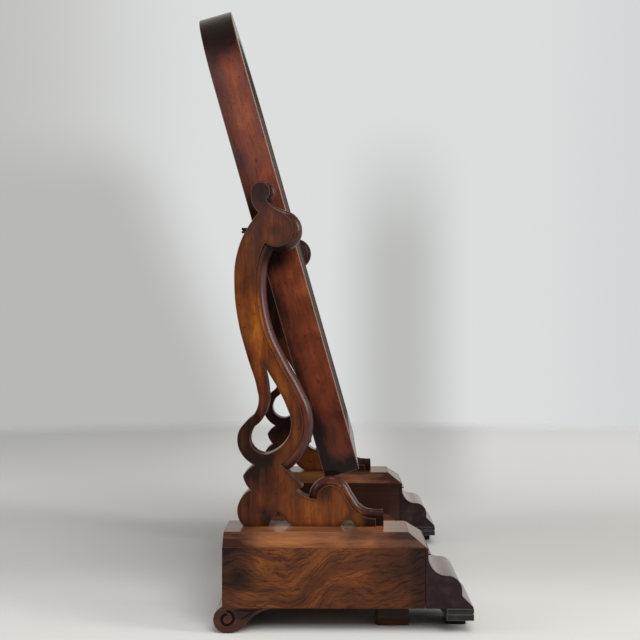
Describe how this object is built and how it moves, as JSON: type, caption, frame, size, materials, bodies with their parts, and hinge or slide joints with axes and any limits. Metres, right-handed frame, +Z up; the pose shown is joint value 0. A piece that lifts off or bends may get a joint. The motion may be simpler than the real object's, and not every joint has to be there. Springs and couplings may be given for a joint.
{
  "type": "dressing table mirror",
  "caption": "Swing dressing table mirror: arched framed mirror tilting between carved scroll uprights that stand on ogee-fronted drawer boxes joined by a low bow-fronted platform.",
  "frame": {"origin": "on the floor, under the middle of the overall box", "axes": "+X to the right as seen by a user in front, +Y to the back, +Z up; the mirror faces -Y"},
  "size_m": [0.68, 0.3332, 0.7594],
  "materials": {
    "frame_mahogany": "french polished red-brown mahogany, grain along the member",
    "carved_mahogany": "french polished orange-brown mahogany with dark rounded edges",
    "figured_veneer": "polished flame-figured mahogany veneer",
    "polished_top": "polished straight-grained mahogany",
    "ebonised_mahogany": "near-black polished mahogany mouldings",
    "foot_mahogany": "dark polished mahogany",
    "drawer_lining": "plain unpolished drawer wood",
    "plain_pine": "plain hidden softwood",
    "silvered_glass": "silvered mirror plate",
    "brass": "turned brass, lightly aged",
    "dark_steel": "dark steel screws"
  },
  "bodies": {
    "base": {"centre_platform": "polished_top", "left_block_foot": "foot_mahogany", "left_box_back": "plain_pine", "left_box_bottom": "plain_pine", "left_box_inner_side": "figured_veneer", "left_box_outer_side": "figured_veneer", "left_box_top": "polished_top", "left_pivot_bush": "brass", "left_platform_dowels": "plain_pine", "left_scroll_foot": "foot_mahogany", "left_support": "carved_mahogany", "left_support_dowels": "plain_pine", "right_block_foot": "foot_mahogany", "right_box_back": "plain_pine", "right_box_bottom": "plain_pine", "right_box_inner_side": "figured_veneer", "right_box_outer_side": "figured_veneer", "right_box_top": "polished_top", "right_pivot_bush": "brass", "right_platform_dowels": "plain_pine", "right_scroll_foot": "foot_mahogany", "right_support": "carved_mahogany", "right_support_dowels": "plain_pine"},
    "mirror": {"left_pivot_pin": "brass", "left_pivot_plate": "brass", "mirror_arched_head": "frame_mahogany", "mirror_backboard": "plain_pine", "mirror_backboard_screws": "dark_steel", "mirror_bottom_rail": "frame_mahogany", "mirror_glazing_blocks": "plain_pine", "mirror_left_stile": "frame_mahogany", "mirror_plate": "silvered_glass", "mirror_right_stile": "frame_mahogany", "pivot_plate_screws": "dark_steel", "right_pivot_pin": "brass", "right_pivot_plate": "brass"},
    "left_drawer": {"left_drawer_back": "drawer_lining", "left_drawer_bottom": "drawer_lining", "left_drawer_front": "ebonised_mahogany", "left_drawer_inner_side": "drawer_lining", "left_drawer_outer_side": "drawer_lining", "left_drawer_plinth": "ebonised_mahogany", "left_pad_foot": "ebonised_mahogany", "left_plinth_bracket": "ebonised_mahogany"},
    "right_drawer": {"right_drawer_back": "drawer_lining", "right_drawer_bottom": "drawer_lining", "right_drawer_front": "ebonised_mahogany", "right_drawer_inner_side": "drawer_lining", "right_drawer_outer_side": "drawer_lining", "right_drawer_plinth": "ebonised_mahogany", "right_pad_foot": "ebonised_mahogany", "right_plinth_bracket": "ebonised_mahogany"},
    "left_clamp": {"left_clamp_screw": "dark_steel"},
    "right_clamp": {"right_clamp_screw": "dark_steel"}
  },
  "joints": [
    {"name": "mirror_tilt", "type": "hinge", "parent": "base", "child": "mirror", "pos_m": [0, 0.05581, 0.453], "axis": [1, 0, 0], "range_deg": [-74, 106]},
    {"name": "left_drawer_slide", "type": "slide", "parent": "base", "child": "left_drawer", "axis": [0, -1, 0], "range_m": [0, 0.15]},
    {"name": "right_drawer_slide", "type": "slide", "parent": "base", "child": "right_drawer", "axis": [0, -1, 0], "range_m": [0, 0.15]},
    {"name": "left_clamp_turn", "type": "hinge", "parent": "base", "child": "left_clamp", "pos_m": [-0.2695, 0.09, 0.453], "axis": [0, 1, 0], "range_deg": [0, 360]},
    {"name": "right_clamp_turn", "type": "hinge", "parent": "base", "child": "right_clamp", "pos_m": [0.2695, 0.09, 0.453], "axis": [0, 1, 0], "range_deg": [0, 360]}
  ]
}
